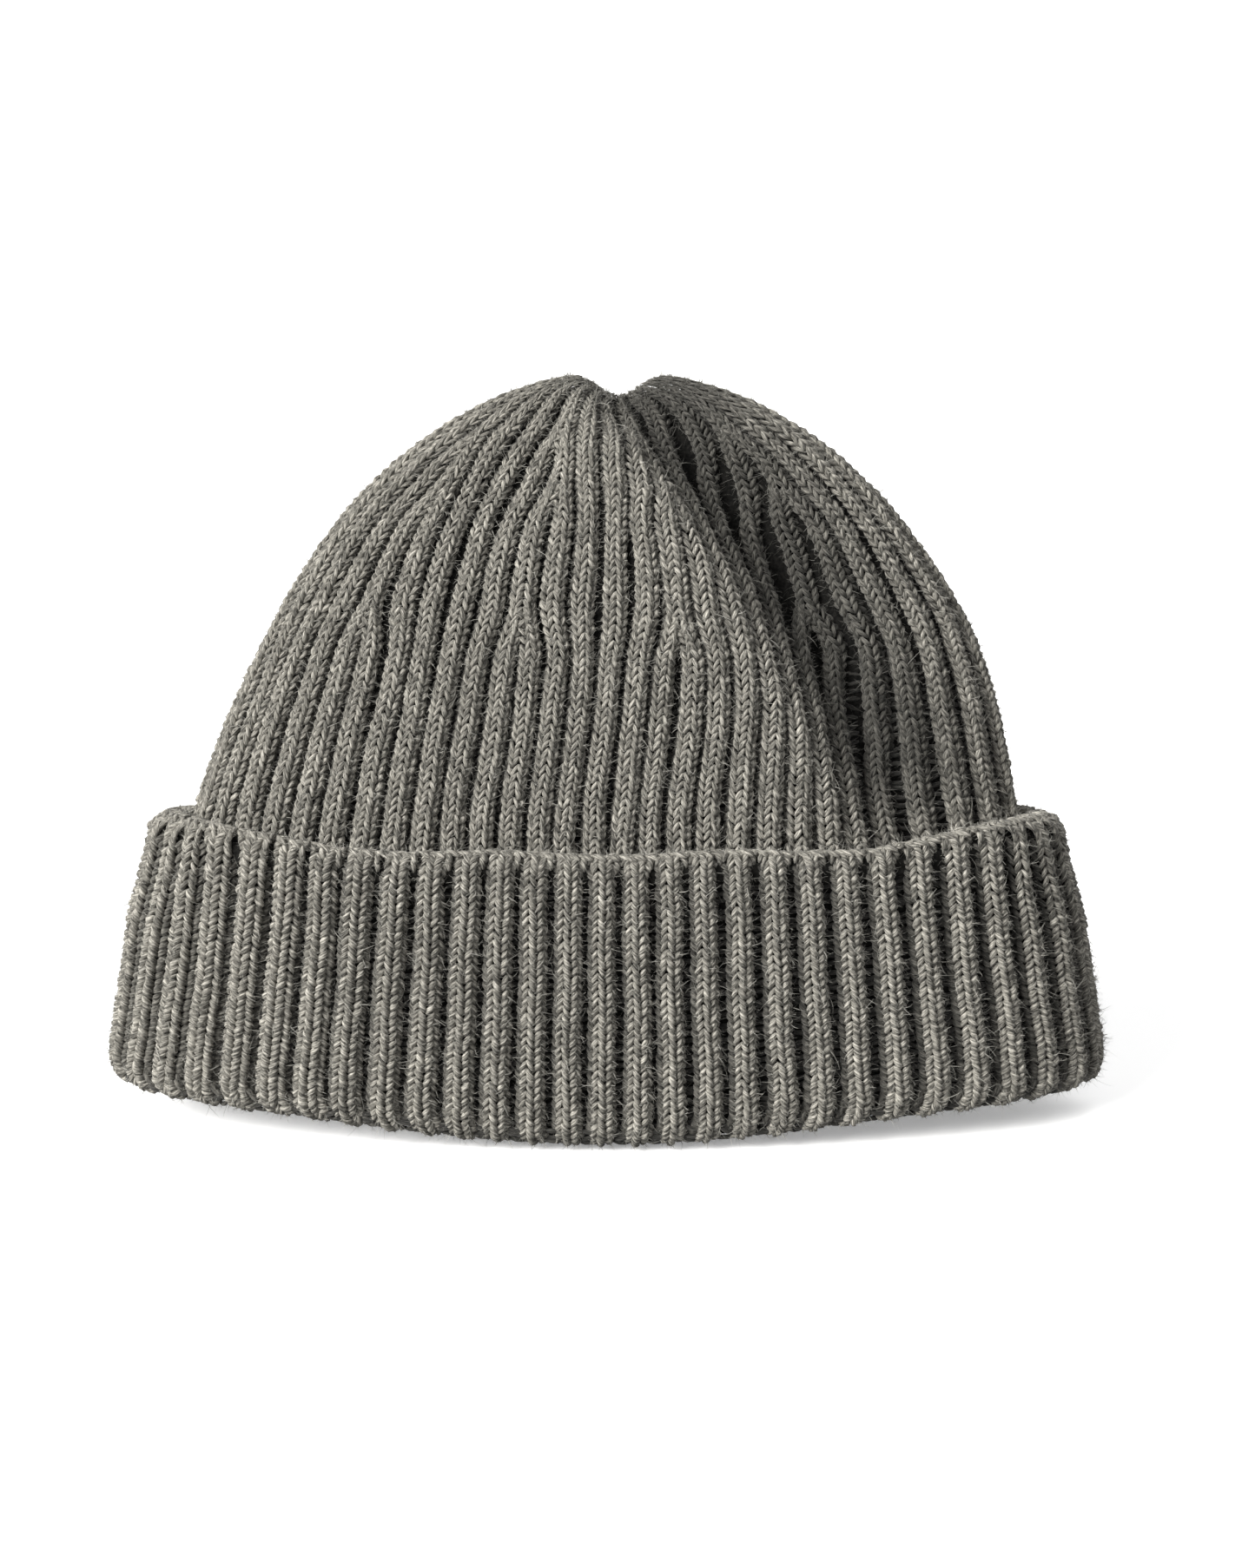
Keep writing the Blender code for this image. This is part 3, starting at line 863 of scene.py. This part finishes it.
def knit_patch(name, surface, columns, s, *, outward, body, nodes, sectors, hairs,
               roll_base, tilt, sway, sinks, groove, spread, narrow, openness,
               flat_of, under_of, slack_of, lean_of):
    """Knits one region and hands it over in upright sectors.

    sectors, hairs: number of pieces of knit and of loose fibres; roll_base, tilt:
    how far the ribs lean over, times lean_of; sinks: how deep a leg's two ends
    lie; groove: depth of the purl bumps; spread: pitch beyond which stitches
    grow; narrow: how much slimmer the ribs are where slack_of is 1;
    openness: painted shade in the grooves where slack_of is 0 and 1;
    flat_of, under_of: where the rib flattens and where it turns under.
    """
    data = frames(surface, columns, s, outward, rib_sway(RIBS, s, sway))
    rib_roll = rng.normal(0.0, math.radians(5.0), RIBS)
    roll = roll_base + rib_roll[np.arange(columns.total) // 2]
    data["roll"] = np.repeat(roll[None], len(s), 0)
    slack = slack_of(data["here"])
    # painted shade in the grooves, deeper where the ribs stand apart
    data["open"] = openness[0] + (openness[1] - openness[0]) * slack
    data["lean"] = lean_of(data["here"])
    data["narrow"] = narrow * slack - 0.08 * under_of(data["rows"])
    made = []
    roots = []
    sector = np.floor((data["kappa"] % 1.0) * sectors).astype(int)
    for number in range(sectors):
        chosen = take(data, (sector == number) & (data["living"] > 0.5))
        stitches = legs(chosen, chosen["roll"], flat_of(chosen["rows"]), sinks, tilt,
                        spread)
        points, yarn, tone, shade = stitches
        roots.append(points[:, 2][shade[:, 2, 0] < 0.3])
        # painted shade: on the cuff the yarn darkens over its lowest 8 mm, next to the floor
        dark = 0.35 * (1.0 - smooth(points[..., 2], 0.0, 8.0 * MM))
        # on the body, painted shade beside the main crease takes its place
        if body == "hat":
            dark = 0.87 * crease_shade(points)
        stitches = (points, yarn, tone, 1.0 - (1.0 - shade) * (1.0 - dark))
        piece = strands_object(f"{name}_{number + 1:02d}", stitches, body, YARN)
        made.append(piece)
    roots = np.concatenate(roots)
    for number in range(hairs):
        made.append(fuzz_object(f"{name}_fuzz_{number + 1}", roots, body))
    # one purl bump a row in the groove beside each rib's right-hand column, in the darker
    # copy of the yarn as painted shade
    floor = frames(surface, columns, s, outward, rib_sway(RIBS, s, 0.0), 0.5)
    open_groove = flat_of(s)[:, None] < 0.15
    present = (floor["offset"] > 0.9) & (floor["living"] > 0.5) & open_groove
    left = floor["here"][..., 0] < 0.0
    for label, half in (("left", left), ("right", ~left)):
        chosen = take(floor, present & half)
        bumps = bars(chosen, groove - 3.0 * MM * under_of(chosen["rows"]))
        made.append(strands_object(f"{name}_purl_bumps_{label}", bumps, body, SHADE))
    for piece in made:
        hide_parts(*nodes)


cuff_columns = Columns((), 0.5)
cuff_rows = rows_between(4.2 * MM, CUFF_S[-1] - 14.0 * MM)
knit_patch(
    "cuff_knit", cuff_surface, cuff_columns, cuff_rows,
    outward=-1.0, body="cuff",
    nodes=("cuff_rib_panel", "cuff_fold_roll", "cuff_cast_on_edge"),
    sectors=6, hairs=3, roll_base=math.radians(20.0), tilt=0.06, sway=0.35 * MM,
    sinks=(0.30, 0.70), groove=4.5 * MM, spread=7.0 * MM, narrow=0.13,
    openness=(0.75, 1.0), flat_of=cuff_flat, under_of=cuff_under,
    slack_of=cuff_slack, lean_of=cuff_lean)

cast_on = strands_object("cuff_cast_on_loops", edge_chain(), "cuff",
                         YARN)
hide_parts("cuff_cast_on_edge")

body_columns = Columns(
    (body_height(ROUND_ONE), body_height(ROUND_TWO), body_height(ROUND_THREE)), 0.0)
body_rows = rows_between(0.0, BODY_END)
knit_patch(
    "body_knit", body_surface, body_columns, body_rows,
    outward=1.0, body="hat",
    nodes=("brim_inner_band", "body_rib_wall", "crown_first_decrease",
           "crown_second_decrease", "crown_gathered_tip"),
    sectors=12, hairs=5, roll_base=math.radians(15.0), tilt=0.22, sway=0.45 * MM,
    sinks=(0.66, 0.26), groove=4.2 * MM, spread=6.6 * MM, narrow=0.09,
    openness=(0.84, 1.0), flat_of=nowhere, under_of=nowhere,
    slack_of=body_slack, lean_of=body_lean)

# skins behind the stitches, near black as painted shade where they show between ribs
lengths = np.linspace(0.0, CUFF_S[-1], 90)
sheet_object("cuff_backing_painted_shade", cuff_surface, lengths, 240,
             (2.2 + 2.3 * smooth(lengths, 13.0 * MM, 20.0 * MM)
              - 2.6 * cuff_under(lengths)) * MM,
             -1.0, "cuff", BACKING_SHADE)
lengths = np.linspace(0.0, BODY_END - 4.0 * MM, 130)
sheet_object("body_backing_painted_shadow", body_surface, lengths, 300,
             (4.2 - 1.4 * smooth(lengths, body_height(85.0 * MM),
                                 body_height(130.0 * MM))) * MM,
             1.0, "hat", SHADOW, closed=True)

for name in ("cuff_back_seam", "body_back_seam", "gather_thread", "gather_knot"):
    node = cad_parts[name]
    for holder in node.material_slots:
        holder.material = THREAD

# --------------------------------------------------------- floor and light
def backdrop():
    """A floor that sweeps up behind the hat without a visible edge."""
    profile = [(-4.0, 0.0), (1.2, 0.0)]
    for turn in np.linspace(0.0, np.pi / 2.0, 13)[1:]:
        profile.append((1.2 + 1.0 * math.sin(turn), 1.0 - 1.0 * math.cos(turn)))
    profile.append((2.2, 5.0))
    points = [(x, y, z) for y, z in profile for x in (-5.0, 5.0)]
    faces = [(2 * i, 2 * i + 1, 2 * i + 3, 2 * i + 2) for i in range(len(profile) - 1)]
    mesh = bpy.data.meshes.new("studio_floor")
    mesh.from_pydata(points, [], faces)
    mesh.polygons.foreach_set("use_smooth", [True] * len(faces))
    floor = bpy.data.objects.new("studio_floor", mesh)
    bpy.context.scene.collection.objects.link(floor)
    return floor


def studio():
    """A pale floor, a white room and three soft lights."""
    floor = backdrop()
    paint = bpy.data.materials.new("pale_floor")
    paint.use_nodes = True
    shader = paint.node_tree.nodes["Principled BSDF"]
    shader.inputs["Base Color"].default_value = (0.95, 0.95, 0.95, 1.0)
    shader.inputs["Roughness"].default_value = 0.9
    # a slight glow keeps the shadow pale
    shader.inputs["Emission Color"].default_value = (1.0, 1.0, 1.0, 1.0)
    shader.inputs["Emission Strength"].default_value = 0.3
    floor.data.materials.append(paint)
    floor.visible_diffuse = False
    floor.visible_shadow = False
    world = bpy.data.worlds.new("studio")
    world.use_nodes = True
    tree = world.node_tree
    room = tree.nodes["Background"]
    room.inputs["Color"].default_value = (1.0, 1.0, 1.0, 1.0)
    # the room itself reads white behind the floor
    path = tree.nodes.new("ShaderNodeLightPath")
    level = tree.nodes.new("ShaderNodeMapRange")
    level.inputs["To Min"].default_value = ROOM_LIGHT
    level.inputs["To Max"].default_value = ROOM_SEEN
    tree.links.new(path.outputs["Is Camera Ray"], level.inputs["Value"])
    tree.links.new(level.outputs[0], room.inputs["Strength"])
    bpy.context.scene.world = world
    for name, place, strength, spread, colour in (
        ("key", (-1.0, -0.85, 0.72), 7.4, 32.0, (1.0, 0.99, 0.97)),
        ("fill", (0.3, -1.0, 0.5), 0.5, 80.0, (0.97, 0.985, 1.0)),
        ("back", (0.25, 1.0, 0.45), 3.2, 60.0, (1.0, 1.0, 1.0)),
    ):
        data = bpy.data.lights.new(name, "SUN")
        data.energy = strength
        data.angle = math.radians(spread)
        data.color = colour
        light = bpy.data.objects.new(name, data)
        light.location = place
        aim = Vector((0.0, 0.0, 0.08)) - light.location
        light.rotation_euler = aim.to_track_quat("-Z", "Y").to_euler()
        bpy.context.scene.collection.objects.link(light)


def camera():
    """The photo's view: from the front, eight degrees down."""
    data = bpy.data.cameras.new("camera")
    data.sensor_fit = "VERTICAL"
    data.sensor_height = 36.0
    data.lens = 47.5
    data.clip_start = 0.01
    eye = bpy.data.objects.new("camera", data)
    eye.location = (0.0052, -0.500, 0.150)
    eye.rotation_euler = (math.radians(90.0 - 8.0), 0.0, 0.0)
    bpy.context.scene.collection.objects.link(eye)
    bpy.context.scene.camera = eye


studio()
camera()
bpy.context.scene.view_settings.view_transform = "Standard"
